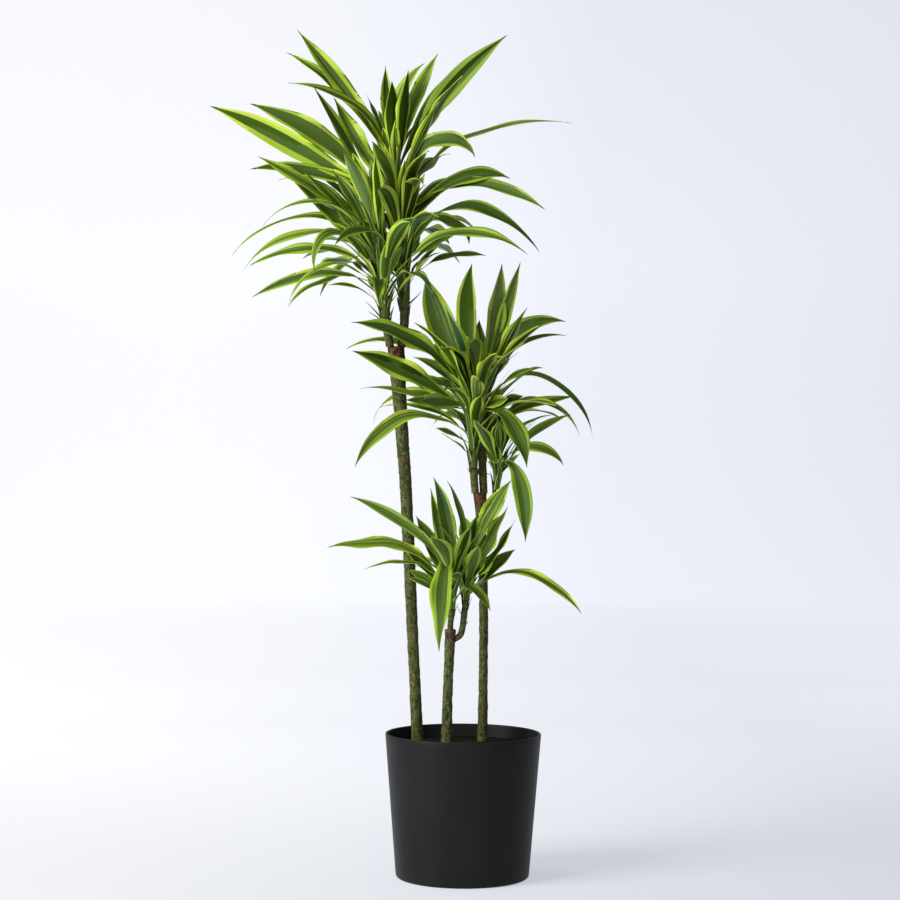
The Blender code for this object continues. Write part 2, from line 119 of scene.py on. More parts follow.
CANES = {
    "cane_tall": (
        ((-0.0704, 0.020), (-0.0804, 0.020, 0.392), (-0.0902, 0.020, 0.578), (-0.0970, 0.019, 0.671),
         (-0.1081, 0.014, 0.8155)),
        (0.0094, 0.0088, 0.0092, 0.0095, 0.0098, 0.0104, 0.0135),
    ),
    "cane_middle": (
        ((0.0303, 0.035), (0.0308, 0.032, 0.320), (0.0302, 0.030, 0.424), (0.0266, 0.030, 0.530),
         (0.0233, 0.030, 0.5905)),
        (0.0085, 0.0072, 0.0072, 0.0072, 0.0075, 0.0110),
    ),
    "cane_short": (
        ((-0.0256, -0.040), (-0.0245, -0.040, 0.276), (-0.0224, -0.043, 0.340), (-0.0207, -0.045, 0.3840)),
        (0.0090, 0.0076, 0.0076, 0.0088),
    ),
}

SHOOTS = {
    "shoot_tall_left": (
        ((-0.1169, 0.006, 0.8158), (-0.1209, 0.001, 0.838), (-0.1247, -0.005, 0.8580)), 0.0066, 0.0070),
    "shoot_tall_right": (
        ((-0.0999, 0.019, 0.8158), (-0.0954, 0.020, 0.852), (-0.0954, 0.020, 0.8875)), 0.0068, 0.0076),
    "shoot_middle_left": (
        ((0.0162, 0.027, 0.5908), (0.0141, 0.026, 0.615), (0.0131, 0.025, 0.6405)), 0.0060, 0.0064),
    "shoot_middle_right": (
        ((0.0293, 0.034, 0.5908), (0.0278, 0.035, 0.620), (0.0266, 0.036, 0.6485)), 0.0062, 0.0066),
    "shoot_middle_side": (
        ((0.0331, 0.0259, 0.5560), (0.0441, 0.020, 0.5680), (0.0481, 0.018, 0.5915)), 0.0040, 0.0046),
    "shoot_short_left": (
        ((-0.0212, -0.046, 0.3843), (-0.0204, -0.050, 0.398), (-0.0189, -0.054, 0.4105)), 0.0046, 0.0048),
    "shoot_short_right": (
        ((-0.0121, -0.0435, 0.3690), (-0.0039, -0.041, 0.3800), (0.0026, -0.040, 0.4275)), 0.0046, 0.0052),
}
FROM_THE_SIDE = ("shoot_middle_side", "shoot_short_right")

# Crowns: stem tip, stem radii and fill, which is how many leaves, the longest in mm and a seed
CROWNS = {
    "tall_right": {"tip": (-0.1134, 0.020, 1.120), "radii": (0.0080, 0.0040), "fill": (22, 250, 4)},
    "tall_left": {"tip": (-0.1349, -0.010, 1.005), "radii": (0.0074, 0.0036), "fill": (17, 220, 2)},
    "middle_left": {"tip": (0.0131, 0.015, 0.757), "radii": (0.0068, 0.0036), "fill": (14, 220, 10)},
    "middle_right": {"tip": (0.0241, 0.045, 0.750), "radii": (0.0070, 0.0036), "fill": (14, 220, 10)},
    "middle_side": {"tip": (0.0536, 0.012, 0.649), "radii": (0.0050, 0.0030), "fill": (5, 120, 12)},
    "short_left": {"tip": (-0.0191, -0.060, 0.4746), "radii": (0.0052, 0.0032), "fill": (7, 160, 2)},
    "short_right": {"tip": (0.0036, -0.035, 0.4886), "radii": (0.0056, 0.0032), "fill": (7, 150, 5)},
}

# Leaves that are placed one by one. A row gives the height of the root up the stem (mm), turn, rise,
# droop (degrees), length, width (mm), roll of the face (degrees), and hook, the power by which the droop
# grows along the leaf.
LEAVES = {
    "tall_right": (
        (215, 170, 54, 2, 260, 29, 70, 1.4),
        (205, 160, 59, 32, 268, 25, 60, 1.4),
        (190, 200, 80, 84, 241, 28, 55, 1.0),
        (115, 215, 53, 2, 256, 28, 50, 1.4),
        (150, 165, 59, 2, 198, 28, 50, 1.4),
        (200, 140, 70, 15, 143, 16, 0, 1.4),
        (214, 140, 76, -16, 154, 22, 30, 1.4),
        (215, 340, 93, 62, 165, 26, 60, 2.0),
        (205, 20, 79, 23, 196, 24, 50, 1.4),
        (188, 38, 67, 20, 212, 20, 50, 1.4),
        (185, 355, 69, 29, 284, 34, 75, 0.8),
        (150, 325, 75, 140, 207, 26, 75, 1.6),
        (155, 5, 50, 61, 313, 25, 25, 1.4),
        (103, 350, 55, 83, 209, 41, 50, 1.8),
        (138, 345, 41, 79, 250, 22, 40, 0.9),
        (90, 350, 56, 115, 256, 24, 55, 0.9),
        (72, 340, 60, 154, 156, 29, 30, 1.7),
        (91, 25, 50, 110, 165, 21, 20, 1.4),
        (28, 350, 41, 57, 140, 16, 30, 1.4),
        (20, 335, 66, 62, 84, 22, 30, 1.4),
        (130, 180, 40, 24, 340, 37, 75, 1.4),
        (135, 175, 47, 28, 292, 36, 70, 1.6),
        (115, 185, 55, 70, 260, 26, 45, 1.0),
        (86, 190, 33, 6, 256, 28, 60, 1.4),
        (120, 165, 47, 66, 222, 16, 30, 1.4),
        (95, 285, 72, 115, 190, 28, 0, 1.4),
        (185, 255, 80, 10, 110, 24, 0, 1.4),
        (195, 290, 82, 20, 115, 22, 0, 1.4),
        (8, 215, 74, 12, 110, 26, 0, 1.4),
        (48, 340, 44, 32, 108, 26, 50, 1.4),
        (108, 8, 60, 38, 128, 28, 50, 1.4),
    ),
    "tall_left": (
        (50, 185, 86, 142, 272, 15, 45, 1.3),
        (55, 170, 79, 134, 306, 26, 40, 0.95),
        (50, 190, 67, 127, 265, 22, 30, 1.05),
        (50, 165, 66, 97, 243, 20, 55, 0.7),
        (70, 230, 43, 168, 218, 20, 40, 2.2),
        (42, 190, 45, 78, 213, 18, 60, 0.6),
        (20, 175, 58, 118, 178, 16, 30, 1.0),
        (42, 200, 52, 128, 188, 18, 30, 1.1),
        (20, 200, 38, 50, 96, 12, 20, 1.4),
        (55, 170, 59, 27, 248, 26, 65, 1.4),
        (65, 185, 63, 26, 205, 28, 65, 1.4),
        (100, 200, 66, 20, 148, 22, 60, 1.4),
        (100, 250, 80, 20, 150, 20, 0, 1.4),
        (108, 235, 80, 10, 125, 18, 0, 1.4),
        (118, 140, 84, 10, 110, 16, 0, 1.4),
        (40, 335, 70, 107, 281, 22, 60, 0.85),
    ),
    "middle_left": (
        (104, 180, 63.3, -10, 197, 45, 75, 1.4),
        (104, 0, 97, 22, 202, 33, 75, 3.0),
        (100, 265, 80, 130, 150, 26, 0, 2.0),
        (100, 235, 68, 105, 135, 28, 10, 2.0),
        (88, 202, 58, 60, 246, 35, 60, 1.2),
        (90, 160, 56, 83, 252, 21, 50, 1.4),
        (74, 200, 34, 22, 218, 34, 70, 1.4),
        (45, 200, 39, 48, 200, 17, 40, 1.4),
        (52, 156, 36, 130, 214, 20, 40, 2.4),
        (78, 205, 10, 8, 116, 22, 60, 1.4),
        (30, 160, 45, 65, 175, 14, 40, 1.4),
        (34, 205, 42, 107, 235, 22, 50, 0.95),
        (2, 200, 48, 26, 66, 16, 30, 1.4),
        (68, 312, 45, 125, 166, 32, 30, 0.6),
        (22, 200, 34, 24, 68, 16, 30, 1.4),
    ),
    "middle_right": (
        (92, 15, 81, -1, 211, 30, 75, 1.4),
        (88, 10, 76, 4, 224, 21, 60, 1.4),
        (95, 5, 82, 99, 200, 26, 60, 1.4),
        (84, 17, 74, 64, 180, 22, 50, 1.4),
        (79, 14, 72, 80, 191, 12, 30, 1.4),
        (75, 298, 78, 104, 130, 34, 0, 1.6),
        (60, 350, 96, 177, 251, 14, 50, 0.7),
        (34, 0, 48, 44, 157, 18, 50, 0.7),
        (25, 15, 55, 131, 204, 18, 40, 1.4),
        (58, 345, 40, 30, 75, 24, 30, 1.4),
    ),
    "middle_side": (
        (28, 10, 60, 50, 152, 15, 40, 1.4),
        (45, 340, 70, 68, 118, 13, 30, 1.4),
        (28, 350, 75, 142, 135, 19, 40, 1.1),
        (36, 290, 76, 168, 192, 28, 40, 0.42),
        (45, 220, 80, 5, 60, 16, 0, 1.4),
        (50, 60, 85, 5, 62, 16, 0, 1.4),
    ),
    "short_left": (
        (40, 180, 75, 61, 213, 18, 65, 0.8),
        (39, 195, 64, 79, 215, 21, 55, 0.7),
        (33, 180, 63, 89, 148, 12, 20, 0.8),
        (12, 200, 44, 32, 84, 12, 40, 1.4),
        (26, 170, 78.5, 0, 167, 16, 50, 1.4),
        (34, 180, 97, 36, 176, 26, 70, 1.2),
        (36, 264, 84, 172, 254, 34, 0, 0.6),
        (34, 235, 75, 60, 110, 20, 20, 2.0),
        (34, 150, 66, 14, 128, 26, 50, 1.4),
        (20, 170, 55, 22, 110, 22, 40, 1.4),
        (14, 190, 46, 20, 84, 18, 50, 1.4),
    ),
    "short_right": (
        (23, 175, 92, 38, 165, 15, 30, 2.0),
        (57, 8, 69, 16, 143, 28, 70, 1.4),
        (38, 308, 72, 30, 142, 20, 45, 1.4),
        (14, 325, 63, 6, 150, 38, 70, 1.4),
        (10, 332, 53, -4, 141, 24, 60, 1.4),
        (8, 340, 47, 12, 105, 28, 50, 1.8),
        (7, 350, 60, 118, 208, 15, 40, 0.75),
        (15, 290, 70, 40, 90, 26, 0, 1.4),
        (5, 316, 46, 10, 60, 24, 20, 1.4),
    ),
}

# Leaves dealt out to the back and the front, from the foot of a stem to its tip, and how far each may stray
FILL_RISE = (38, 80)
FILL_DROOP = (105, 15)
FILL_LENGTH = (0.85, 0.38)
FILL_WIDTH = (20, 28)
FILL_FOOT = 0.12
FILL_SIDE = 0.78
FILL_HOOK = (1.0, 1.6)
TURN_STRAY = 12
RISE_STRAY = 6
FACE_STRAY = 25
DROOP_STRAY = (0.7, 1.2)
LENGTH_STRAY = (0.8, 1.0)

# Small leaves that crowd the middle of each crown: how many, and the longest in mm
SMALL_LEAVES = {
    "tall_right": (30, 150),
    "tall_left": (20, 130),
    "middle_left": (13, 120),
    "middle_right": (13, 120),
    "middle_side": (4, 65),
    "short_left": (7, 85),
    "short_right": (7, 85),
}
# Leaves that lie across the front of a crown
FRONT_LEAVES = {
    "middle_left": (
        (84, 222, 6, 8, 110, 26, 66, 1.4),
        (84, 310, 8, 0, 80, 20, 66, 1.4),
    ),
}
SMALL_SPAN = (0.03, 0.98)
SMALL_RISE = (62, 84)
SMALL_DROOP = (10, 80)
SMALL_DROOP_ENDS = (1.1, 0.5)  # times that at the foot of a stem and at its tip
SMALL_TIP_LENGTH = 0.65
SMALL_WIDTH = (14, 21)
SMALL_HOOK = (1.1, 1.7)
SMALL_TURN_STRAY = 20
SMALL_RISE_STRAY = 5
SMALL_LENGTH_STRAY = (0.65, 1.0)
SMALL_SEED = 40

# Clasping leaf bases on each stem: how many, how far below its foot (mm) and how far up it they stand
SHEATHS = {
    "tall_right": (40, 22, 0.66),
    "tall_left": (30, 12, 0.60),
    "middle_left": (22, 22, 0.60),
    "middle_right": (20, 10, 0.60),
    "middle_side": (9, 10, 0.60),
    "short_left": (12, 6, 0.65),
    "short_right": (12, 8, 0.65),
}
SHEATH_ROWS = 10
SHEATH_COLUMNS = 12
SHEATH_STRIPES = (
    (0.2, "green_full"), (0.45, "green_soft"), (0.6, "green_full"), (0.8, "pale_foot"), (1.0, "lime_deep"))
SHEATH_MARGIN = 0.6
SHEATH_SOONER = (1.7, 1.4)  # how soon up a stem the bases get their full length and lean
SHEATH_LENGTH = (26, 100)
SHEATH_LENGTH_STRAY = (0.75, 1.2)
SHEATH_LEAN = (0.20, 0.52)
SHEATH_LEAN_STRAY = (0.7, 1.3)
SHEATH_CLASP = (0.75, 1.15)
SHEATH_PALE = (0.1, 0.55)
SHEATH_TURN_STRAY = 0.3
SHEATH_DRY = 0.9  # beyond this far along, a base is dry
SHEATH_OFF = 0.7 * MM
SHEATH_CURL = 1.7
SHEATH_TAPER = 1.8
SHEATH_POINT = 0.15 * MM
WORN_SHARE = 0.15  # of the bases have dry margins
WORN_BELOW = 0.12  # and so have all up to here

# Dry stubs of old leaves: the shoot, how far up it, turn, rise, droop (degrees), length and width (mm)
STUB_GRID = (4, 8)
STUB_ROOT = 0.75  # of the way from a shoot's middle to its bark
STUB_TAPER = 1.2
STUB_POINT = 0.1 * MM
STUB_KEEL = 0.8
STUBS = (
    ("shoot_tall_left", 0.93, 182, 36, 10, 26, 4.0),
    ("shoot_tall_left", 1.00, 200, 50, 14, 36, 4.5),
    ("shoot_tall_left", 0.97, 330, 58, -8, 24, 3.6),
    ("shoot_tall_left", 0.70, 240, 60, 10, 14, 3.4),
    ("shoot_tall_right", 0.86, 200, 62, -10, 17, 3.6),
    ("shoot_tall_right", 0.93, 350, 34, -16, 28, 5.0),
    ("shoot_tall_right", 0.55, 285, 66, 6, 13, 3.6),
    ("shoot_middle_right", 0.52, 350, -10, 55, 17, 1.8),
    ("shoot_middle_left", 0.55, 215, 60, 10, 14, 3.0),
    ("shoot_middle_right", 0.72, 300, 62, 12, 15, 3.4),
    ("shoot_short_right", 0.80, 190, 56, -12, 18, 2.2),
    ("shoot_short_right", 0.62, 20, 60, 10, 10, 2.6),
)

# Fine leaf: rows along it, and where its stripes divide it from the midrib out
LEAF_ROWS = 28
STRIPES = (0.0, 0.09, 0.22, 0.37, 0.50, 0.56, 0.62, 0.81, 1.0)
GREEN_END = STRIPES[-3]
GREEN_SPREAD = (0.80, 1.34)  # how far the green reaches out, as a share of its usual width
GREEN_LIMIT = 1.45
HANGING = 150  # a leaf that droops by more degrees than this is old, with narrower margins
OLD_SPREAD = 1.22
LEAF_THICK = 0.5 * MM
WIDEST = 0.606  # along a leaf
NECK = 0.24  # narrowest below that, as a share of the width
CLASP = (0.30, 0.05)  # the foot's share of the width, and how far along a leaf it reaches
DRAWN_OUT = 0.45  # how much finer the point gets
RESTLESS = 130  # a leaf shorter than this, in mm, has a calmer edge
TIP_ROWS = 0.955  # beyond this far along, a leaf is dry
BASE_ROWS = 0.09  # up to here its margins are pale
PALE_BANDS = 3  # from the midrib out, the stripes that stay green there

# How leaves differ: each value is dealt from its range, lengths as a share of the leaf's length or width
SIDE_SPREAD = (0.82, 1.1)
CLOSING = (0.0, 0.40)
CLOSING_AT = 0.45  # along a leaf: its green is narrower before and wider beyond
WAVE = (0.04, 0.17)
WAVE_BEATS = (1.5, 3.6)
PHASE = (0, 6.28)
NICK = (0.02, 0.07)
NICK_BEATS = (2.5, 6.0)
SWAY = 0.022
BOUNCE = 0.024
TWIST = 0.7
KNEE = 0.045  # how far an arching leaf stands up at most
KNEE_SHARE = (0.2, 1.0)
KNEE_AT = (0.36, 0.52)
KNEE_WIDTH = 0.16
KNEE_DROOP = (20, 60)  # degrees of droop at which a knee starts, and how many more make it whole
FOLDS = (0.7, 1.0, 1.3, 1.8, 2.3)
WAIST = (0.85, 1.25)
WAIST_BY_DROOP = 0.004  # more for each degree
FULLNESS = (0.78, 1.05)

# Strips of the UV map: half their width and half their height
LEAF_LANE = (0.46, 0.49)
BASE_LANE = (0.45, 0.49)

# Colours of the leaves: name, base colour, roughness and gloss
SKINS = (
    ("lime_sunny", (0.450, 0.560, 0.040), 0.42, 0.12),
    ("lime_fresh", (0.340, 0.460, 0.036), 0.42, 0.20),
    ("lime_deep", (0.205, 0.325, 0.034), 0.42, 0.28),
    ("green_deep", (0.022, 0.046, 0.0012), 0.36, 0.04),
    ("green_full", (0.036, 0.074, 0.0025), 0.36, 0.07),
    ("green_soft", (0.060, 0.110, 0.012), 0.36, 0.26),
    ("green_mild", (0.100, 0.165, 0.034), 0.36, 0.42),
    ("green_cool", (0.040, 0.098, 0.030), 0.36, 0.42),
    ("pale_line", (0.370, 0.460, 0.115), 0.45, 0.16),
    ("under_lime", (0.250, 0.370, 0.022), 0.55, 0.12),
    ("under_deep", (0.170, 0.280, 0.020), 0.55, 0.12),
    ("under_green", (0.052, 0.094, 0.012), 0.55, 0.12),
    ("under_soft", (0.082, 0.138, 0.020), 0.55, 0.12),
    ("pale_foot", (0.240, 0.310, 0.105), 0.5, 0.16),
    ("dry_tip", (0.075, 0.072, 0.030), 0.7, 0.1),
    ("dry_stub", (0.060, 0.062, 0.026), 0.75, 0.1),
)
LIMES = ("lime_sunny", "lime_fresh", "lime_deep")
GREENS = ("green_deep", "green_full", "green_soft", "green_mild")
UNDERSIDES = {
    "under_lime": ("lime_sunny", "lime_fresh", "pale_line"),
    "under_deep": ("lime_deep",),
    "under_green": ("green_deep", "green_full"),
    "under_soft": ("green_soft", "green_mild", "green_cool"),
}
LIME_PLACE = (0.8, 0.6)  # mean and spread of a leaf's place in LIMES
GREEN_PLACE = (0.8, 0.9)
COOL_SHARE = 0.16
LOW_DOWN = 60  # a leaf rooted lower than this on its stem, in mm, is older
LOW_AGE = 0.5
HANGING_AGE = 0.6

# Stage
FLOOR_HALF = 6.0
BEND_RADIUS = 1.6
BEND_STEPS = 16
BACK_RISE = 7.0
SKY = (0.93, 0.95, 1.0)
SKY_STRENGTH = 0.24
# Name, place, aim, size and power
LIGHTS = (
    ("key", (-2.4, -1.7, 1.7), (0, 0, 0.7), (1.8, 2.2), 150),
    ("front", (0.2, -3.6, 2.2), (0, 0, 0.6), (1.6, 1.6), 22),
    ("wall_wash", (-2.0, 1.2, 2.4), (-0.6, 5.5, 0.9), (1.6, 1.6), 130),
    ("wall_wash_right", (2.4, 1.4, 2.4), (1.6, 5.5, 0.6), (1.6, 1.6), 75),
)
CAMERA_PLACE = (-0.0234, -3.456, 0.656)
CAMERA_ROLL = math.radians(0.4)
LENS = 89.84
SENSOR = 36


def mix(low, high, t):
    return low + (high - low) * t


def level(angle):
    return Vector((math.cos(angle), math.sin(angle), 0))


class Wire:
    """One output socket of a shader node, with arithmetic that adds Math nodes."""

    def __init__(self, tree, socket):
        self.tree = tree
        self.socket = socket

    def math(self, operation, *values):
        node = self.tree.nodes.new("ShaderNodeMath")
        node.operation = operation
        for slot, value in zip(node.inputs, (self, *values)):
            if isinstance(value, Wire):
                self.tree.links.new(value.socket, slot)
            else:
                slot.default_value = value
        return Wire(self.tree, node.outputs[0])

    def __add__(self, other):
        return self.math("ADD", other)

    def __mul__(self, other):
        return self.math("MULTIPLY", other)

    __radd__ = __add__
    __rmul__ = __mul__


class Finish:
    """A Principled material whose nodes come from one method."""

    def __init__(self, name, colour, roughness, **sockets):
        self.material = bpy.data.materials.new(name)
        self.material.use_nodes = True
        self.tree = self.material.node_tree
        self.shader = self.tree.nodes["Principled BSDF"]
        self.shader.inputs["Base Color"].default_value = (*colour, 1)
        self.shader.inputs["Roughness"].default_value = roughness
        for label, value in sockets.items():
            self.shader.inputs[label.replace("_", " ")].default_value = value
        self.material.diffuse_color = (*colour, 1)

    def node(self, kind, output=0, settings=None, **sockets):
        """A node with its settings, then its sockets, each named, or given as i and its number."""
        made = self.tree.nodes.new(kind)
        for label, value in (settings or {}).items():
            if label == "stops":
                for element, (place, tone) in zip(made.color_ramp.elements, value):
                    element.position = place
                    element.color = (*tone, 1)
                for place, tone in value[2:]:
                    element = made.color_ramp.elements.new(place)
                    element.color = (*tone, 1)
            else:
                setattr(made, label, value)
        for label, value in sockets.items():
            slot = made.inputs[int(label[1:]) if label[1:].isdigit() else label]
            if isinstance(value, Wire):
                self.tree.links.new(value.socket, slot)
            else:
                slot.default_value = value
        return Wire(self.tree, made.outputs[output])

    def place(self, map_name=None):
        """Object coordinates, or a UV map's."""
        if map_name:
            return self.node("ShaderNodeUVMap", settings={"uv_map": map_name})
        return self.node("ShaderNodeTexCoord", output="Object")

    def stretched(self, where, scale):
        return self.node("ShaderNodeMapping", Vector=where, Scale=scale)

    def cloud(self, where, scale, detail=3.0, roughness=0.5):
        return self.node("ShaderNodeTexNoise", Vector=where, Scale=scale, Detail=detail, Roughness=roughness)

    def ramp(self, value, *stops):
        return self.node("ShaderNodeValToRGB", settings={"stops": stops}, Fac=value)

    def step(self, value, low, high):
        """0 up to low and 1 from high on."""
        edge = self.ramp(value, (low, (0, 0, 0)), (high, (1, 1, 1)))
        return self.node("ShaderNodeSeparateColor", Color=edge)

    def blend(self, mask, below, above):
        below, above = (each if isinstance(each, Wire) else (*each, 1) for each in (below, above))
        settings = {"data_type": "RGBA"}
        return self.node("ShaderNodeMix", output=2, settings=settings, i0=mask, i6=below, i7=above)

    def feed(self, label, value):
        self.tree.links.new(value.socket, self.shader.inputs[label])

    def relief(self, height, strength, distance):
        self.feed("Normal", self.node("ShaderNodeBump", Height=height, Strength=strength, Distance=distance))


def black_plastic():
    finish = Finish("black_plastic", (0.0095, 0.0098, 0.0098), 0.48, Specular_IOR_Level=0.11)
    where = finish.place()
    grain = finish.cloud(where, 900, 2)
    drift = finish.cloud(finish.stretched(where, (1, 1, 0.35)), 14, 3)
    finish.feed("Roughness", drift * 0.16 + grain * 0.10 + 0.34)
    tone = finish.ramp(drift, (0.3, (0.0080, 0.0083, 0.0082)), (0.7, (0.0118, 0.0121, 0.0120)))
    finish.feed("Base Color", tone)
    finish.relief(grain, 0.12, 0.0004)
    return finish.material


def potting_mix():
    finish = Finish("potting_mix", (0.011, 0.008, 0.006), 0.95, Specular_IOR_Level=0.08)
    where = finish.place()
    clods = finish.cloud(where, 160, 6, 0.65)
    finish.feed("Base Color", finish.ramp(
        clods, (0.35, (0.004, 0.003, 0.002)), (0.62, (0.014, 0.010, 0.007)), (0.76, (0.040, 0.029, 0.020))))
    finish.relief(clods, 0.9, 0.003)
    return finish.material


def bark(name, dark, middle, light, speck):
    finish = Finish(name, middle, 0.8, Specular_IOR_Level=0.12)
    where = finish.place()
    blotch = finish.cloud(finish.stretched(where, (1, 1, 0.6)), 220, 5, 0.7)
    fine = finish.cloud(finish.stretched(where, (1, 1, 0.7)), 460, 4, 0.6)
    ringed = finish.step(finish.cloud(finish.stretched(where, (0.12, 0.12, 1)), 230, 2), 0.60, 0.69)
    tone = finish.ramp(blotch, (0.36, dark), (0.49, middle), (0.64, light))
    mask = finish.step(fine, 0.57, 0.66)
    rust = finish.step(finish.cloud(where, 45, 3, 0.6), 0.60, 0.70)
    aged = finish.blend(rust * 0.55, finish.blend(ringed * 0.5, tone, light), (0.085, 0.038, 0.018))
    finish.feed("Base Color", finish.blend(mask * 0.6, aged, speck))
    finish.feed("Roughness", fine * 0.25 + 0.62)
    finish.relief(blotch * 0.6 + fine * 0.4, 0.55, 0.0012)
    return finish.material


def wound_wax():
    finish = Finish("wound_wax", (0.056, 0.027, 0.012), 0.6, Specular_IOR_Level=0.12)
    where = finish.place()
    patch = finish.cloud(where, 180, 4, 0.6)
    finish.feed("Base Color", finish.ramp(
        patch, (0.36, (0.018, 0.012, 0.006)), (0.50, (0.058, 0.028, 0.012)), (0.68, (0.15, 0.068, 0.030))))
    finish.feed("Roughness", patch * 0.4 + 0.35)
    finish.relief(patch, 0.5, 0.001)
    return finish.material


def leaf_skin(name, colour, roughness, gloss):
    """Plain colour, with fine veins along the leaf in its gloss and relief."""
    finish = Finish(name, colour, roughness, Specular_IOR_Level=gloss)
    where = finish.place(UV_MAP)
    veins = finish.cloud(finish.stretched(where, (900, 6, 1)), 1.0, 2)
    finish.feed("Roughness", veins * 0.22 + (roughness - 0.11))
    finish.relief(veins, 0.35, 0.0005)
    return finish.material


def add_piece(name, bm, materials, slot, *nodes):
    mesh = bpy.data.meshes.new(name)
    bm.to_mesh(mesh)
    bm.free()
    for each in materials:
        mesh.materials.append(each)
    mesh.shade_smooth()
    obj = bpy.data.objects.new(name, mesh)
    bpy.context.scene.collection.objects.link(obj)
    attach(obj, "root")
    if nodes:
        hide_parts(*nodes)


def along(points, t):
    """Point at t, from 0 to 1, on a smooth curve through these points."""
    spans = len(points) - 1
    i = min(int(t * spans), spans - 1)
    u = t * spans - i
    b, c = points[i], points[i + 1]
    a = points[i - 1] if i > 0 else 2 * b - c
    d = points[i + 2] if i + 2 <= spans else 2 * c - b
    return 0.5 * (2 * b + (c - a) * u + (2 * a - 5 * b + 4 * c - d) * u**2 + (3 * b - a - 3 * c + d) * u**3)


def value_at(values, t):
    spans = len(values) - 1
    i = min(int(t * spans), spans - 1)
    return mix(values[i], values[i + 1], t * spans - i)


def limb_frame(points, t, foot_axis):
    """Middle and turn of a section: across the curve, at its foot across foot_axis and at its end level."""
    ahead = along(points, min(t + AHEAD, 1)) - along(points, max(t - AHEAD, 0))
    if t == 0:
        ahead = foot_axis
    if t == 1:
        ahead = UP
    return along(points, t), UP.rotation_difference(ahead).to_matrix()


def limb_rings(points, radii, stations, sides, foot_axis=UP, swell=0.0):
    points = [Vector(p) for p in points]
    rings = []
    for k in range(stations + 1):
        t = k / stations
        middle, turn = limb_frame(points, t, foot_axis)
        radius = value_at(radii, t) + swell
        rings.append([middle + turn @ (level(2 * math.pi * side / sides) * radius) for side in range(sides)])
    return rings


def tree_of(rings):
    """Search tree of the closed surface through these rings."""
    points = [p for ring in rings for p in ring]
    size = len(rings[0])
    faces = [tuple(reversed(range(size)))]
    start = 0
    for ring in rings[1:]:
        after = start + size
        for i in range(size):
            j = (i + 1) % size
            if len(ring) == 1:
                faces.append((start + i, start + j, after))
            elif i % 2 == 0:
                faces.append((start + i, start + j, after + j))
                faces.append((start + i, after + j, after + i))
            else:
                faces.append((start + i, start + j, after + i))
                faces.append((start + j, after + j, after + i))
        start = after
    if len(rings[-1]) > 1:
        faces.append(tuple(range(start, start + size)))
    return BVHTree.FromPolygons(points, faces)


def leaf_width(s):
    """Share of the plain leaf's width along it."""
    return math.sin(math.pi * (WIDTH_START + (1 - WIDTH_START) * s) ** WIDTH_LATE)


def leaf_frames(root, row, stations):
    """Middle point, way ahead, side and normal of a leaf at these places along it."""
    turn, rise, droop, length, _, face, hook = row
    front = 1 if math.cos(math.radians(turn)) > 0 else -1
    out = level(math.radians(turn))
    across = UP.cross(out)
    middle = root.copy()
    travelled = 0.0
    frames = []
    for s in stations:
        steps = max(1, round((s - travelled) * CURVE_STEPS))
        for k in range(steps if s > 0 else 0):
            slope = math.radians(rise - droop * (travelled + (s - travelled) * (k + 0.5) / steps) ** hook)
            step = length * MM * (s - travelled) / steps
            middle = middle + (out * math.cos(slope) + UP * math.sin(slope)) * step
        travelled = s
        slope = math.radians(rise - droop * s**hook)
        ahead = out * math.cos(slope) + UP * math.sin(slope)
        upper = ahead.cross(across)
        roll = math.radians(face) * front * min(s / FULL_ROLL_AT, 1) ** 1.5
        side = across * math.cos(roll) + upper * math.sin(roll)
        frames.append((middle.copy(), ahead, side, ahead.cross(side)))
    return frames


def leaf_rings(root, row, stations, spare=0.0):
    """Four-pointed sections of the plain solid leaf, for keeping leaves off one another."""
    length, width = row[3], row[4]
    rings = []
    for s, (middle, ahead, side, normal) in zip(stations, leaf_frames(root, row, stations)):
        if s == 1:
            rings.append([middle + ahead * spare])
            continue
        half = (0.5 * width * MM * leaf_width(s) if s > 0 else FOOT_HALF) + spare
        thick = 0.5 * THICKNESS * length * MM * mix(1, TIP_THICKNESS, s) + spare
        sunk = CHANNEL * width * MM * leaf_width(s)
        rings.append([
            middle + side * half,
            middle + normal * (thick - sunk),
            middle - side * half,
            middle - normal * (thick + sunk),
        ])
    return rings


def fill_rows(longest, seed, run):
    """Rows for the leaves that point to the back and the front, dealt out by a golden turn."""
    dealt = random.Random(seed)
    for k in range(TRIES):
        turn = (k * GOLDEN_TURN + dealt.uniform(-TURN_STRAY, TURN_STRAY)) % 360
        share = mix(FILL_FOOT, 1, dealt.random())
        ends = mix(*FILL_LENGTH, share)
        length = longest * (ends + (1 - ends) * math.sin(math.pi * share)) * dealt.uniform(*LENGTH_STRAY)
        row = (
            run * share,
            turn,
            mix(*FILL_RISE, share) + dealt.uniform(-RISE_STRAY, RISE_STRAY),
            mix(*FILL_DROOP, share) * dealt.uniform(*DROOP_STRAY),
            length,
            dealt.uniform(*FILL_WIDTH),
            dealt.uniform(-FACE_STRAY, FACE_STRAY),
            dealt.uniform(*FILL_HOOK),
        )
        if abs(math.cos(math.radians(turn))) < FILL_SIDE:
            yield row


